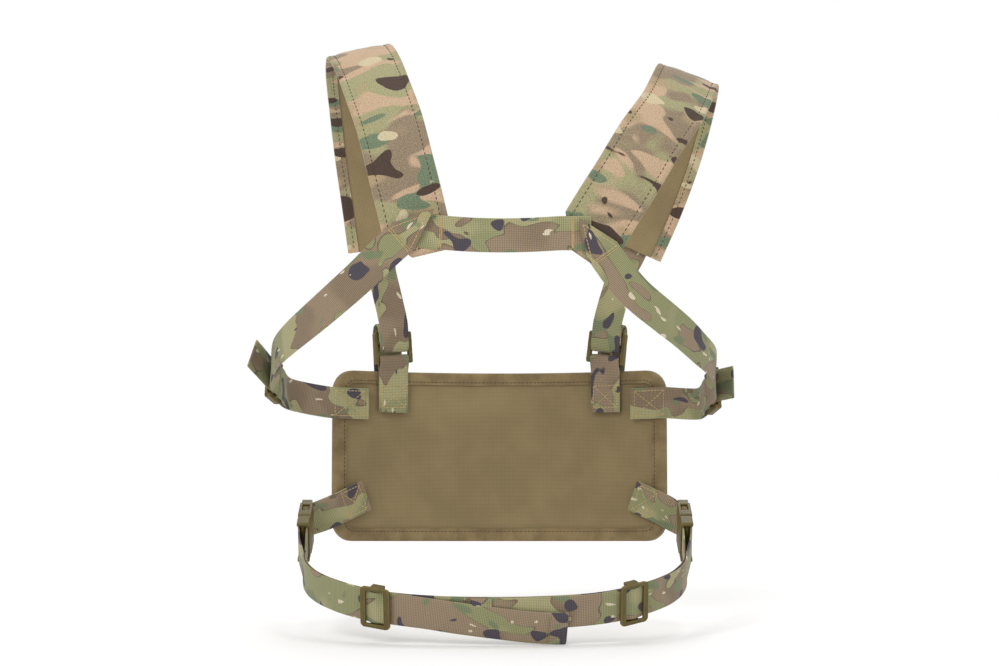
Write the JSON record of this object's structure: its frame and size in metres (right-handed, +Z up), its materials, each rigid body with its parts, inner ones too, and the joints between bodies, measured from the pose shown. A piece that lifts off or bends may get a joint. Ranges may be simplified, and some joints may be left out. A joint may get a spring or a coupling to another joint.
{
  "type": "chest rig harness",
  "caption": "Soft H-back harness with wide shoulder straps, side straps on ladder locks, a waist belt on side-release buckles and a padded front panel.",
  "frame": {"origin": "middle of the harness's footprint, at the height of the lowest point, the hanging belt tail's bottom edge", "axes": "+Z up as worn, +Y the way the wearer faces, +X towards the wearer's right hand"},
  "size_m": [0.3778, 0.2448, 0.4601],
  "materials": {
    "camo_cloth": null,
    "camo_webbing": null,
    "lining_cloth": "plain tan mesh cloth",
    "foam": "closed-cell foam sheet, hidden",
    "binding_tape": "tan grosgrain tape",
    "coyote_plastic": "moulded coyote-brown acetal, satin"
  },
  "bodies": {
    "harness": {"left_shoulder_strap_outer": "camo_cloth", "left_shoulder_strap_core": "foam", "left_shoulder_strap_lining": "lining_cloth", "left_side_strap": "camo_webbing", "left_side_anchor_tab": "camo_webbing", "left_front_strap": "camo_webbing", "left_front_anchor_tab": "camo_webbing", "left_buckle_female": "coyote_plastic", "left_buckle_anchor_tab": "camo_webbing", "right_shoulder_strap_outer": "camo_cloth", "right_shoulder_strap_core": "foam", "right_shoulder_strap_lining": "lining_cloth", "right_side_strap": "camo_webbing", "right_side_anchor_tab": "camo_webbing", "right_front_strap": "camo_webbing", "right_front_anchor_tab": "camo_webbing", "right_buckle_female": "coyote_plastic", "right_buckle_anchor_tab": "camo_webbing", "back_cross_strap": "camo_webbing", "front_panel_lining": "lining_cloth", "front_panel_foam": "foam", "front_panel_face": "camo_cloth", "front_panel_binding": "binding_tape", "front_webbing_row_1": "camo_webbing", "front_webbing_row_2": "camo_webbing", "front_webbing_row_3": "camo_webbing"},
    "waist_belt": {"waist_belt_webbing": "camo_webbing", "left_buckle_male": "coyote_plastic", "right_buckle_male": "coyote_plastic"},
    "left_buckle_upper_prong": {"left_buckle_upper_prong": "coyote_plastic"},
    "left_buckle_lower_prong": {"left_buckle_lower_prong": "coyote_plastic"},
    "right_buckle_upper_prong": {"right_buckle_upper_prong": "coyote_plastic"},
    "right_buckle_lower_prong": {"right_buckle_lower_prong": "coyote_plastic"},
    "left_tri_glide": {"left_tri_glide": "coyote_plastic"},
    "right_tri_glide": {"right_tri_glide": "coyote_plastic"},
    "left_side_ladder_lock": {"left_side_ladder_lock": "coyote_plastic"},
    "left_front_ladder_lock": {"left_front_ladder_lock": "coyote_plastic"},
    "right_side_ladder_lock": {"right_side_ladder_lock": "coyote_plastic"},
    "right_front_ladder_lock": {"right_front_ladder_lock": "coyote_plastic"}
  },
  "joints": [
    {"name": "belt_release", "type": "slide", "parent": "harness", "child": "waist_belt", "axis": [0, -0.9537, -0.3007], "range_m": [0, 0.035], "deforming": ["left_buckle_upper_prong", "left_buckle_lower_prong", "right_buckle_upper_prong", "right_buckle_lower_prong"]},
    {"name": "left_buckle_squeeze", "type": "hinge", "parent": "waist_belt", "child": "left_buckle_upper_prong", "pos_m": [-0.14876, 0.01567, 0.08092], "axis": [-1, 0, 0], "range_deg": [0, 8]},
    {"name": "left_buckle_lower_squeeze", "type": "hinge", "parent": "waist_belt", "child": "left_buckle_lower_prong", "pos_m": [-0.14876, 0.0215, 0.06242], "axis": [1, 0, 0], "range_deg": [0, 8]},
    {"name": "right_buckle_squeeze", "type": "hinge", "parent": "waist_belt", "child": "right_buckle_upper_prong", "pos_m": [0.15453, 0.01567, 0.08092], "axis": [-1, 0, 0], "range_deg": [0, 8]},
    {"name": "right_buckle_lower_squeeze", "type": "hinge", "parent": "waist_belt", "child": "right_buckle_lower_prong", "pos_m": [0.15453, 0.0215, 0.06242], "axis": [1, 0, 0], "range_deg": [0, 8]},
    {"name": "left_tri_glide_travel", "type": "hinge", "parent": "waist_belt", "child": "left_tri_glide", "pos_m": [-0.03525, 0.01029, 0.06277], "axis": [0, -0.3007, 0.9537], "range_deg": [-5.4, 5.4]},
    {"name": "right_tri_glide_travel", "type": "hinge", "parent": "waist_belt", "child": "right_tri_glide", "pos_m": [0.04102, 0.01029, 0.06277], "axis": [0, -0.3007, 0.9537], "range_deg": [-5.4, 5.4]},
    {"name": "left_side_lock_tilt", "type": "hinge", "parent": "harness", "child": "left_side_ladder_lock", "pos_m": [-0.17012, 0.01358, 0.19188], "axis": [-0.067, -0.2825, -0.9569], "range_deg": [0, 30], "deforming": ["left_side_strap"]},
    {"name": "left_front_lock_tilt", "type": "hinge", "parent": "harness", "child": "left_front_ladder_lock", "pos_m": [-0.08145, 0.09441, 0.21002], "axis": [-0.9105, -0.4105, -0.0492], "range_deg": [0, 30], "deforming": ["left_front_strap"]},
    {"name": "right_side_lock_tilt", "type": "hinge", "parent": "harness", "child": "right_side_ladder_lock", "pos_m": [0.17338, 0.01358, 0.18338], "axis": [-0.0572, 0.2644, 0.9627], "range_deg": [0, 30], "deforming": ["right_side_strap"]},
    {"name": "right_front_lock_tilt", "type": "hinge", "parent": "harness", "child": "right_front_ladder_lock", "pos_m": [0.09421, 0.09441, 0.21002], "axis": [-0.9057, 0.4125, 0.0971], "range_deg": [0, 30], "deforming": ["right_front_strap"]}
  ],
  "couplings": [
    {"joint": "left_buckle_lower_squeeze", "follows": "left_buckle_squeeze", "ratio": 1},
    {"joint": "right_buckle_lower_squeeze", "follows": "right_buckle_squeeze", "ratio": 1}
  ]
}
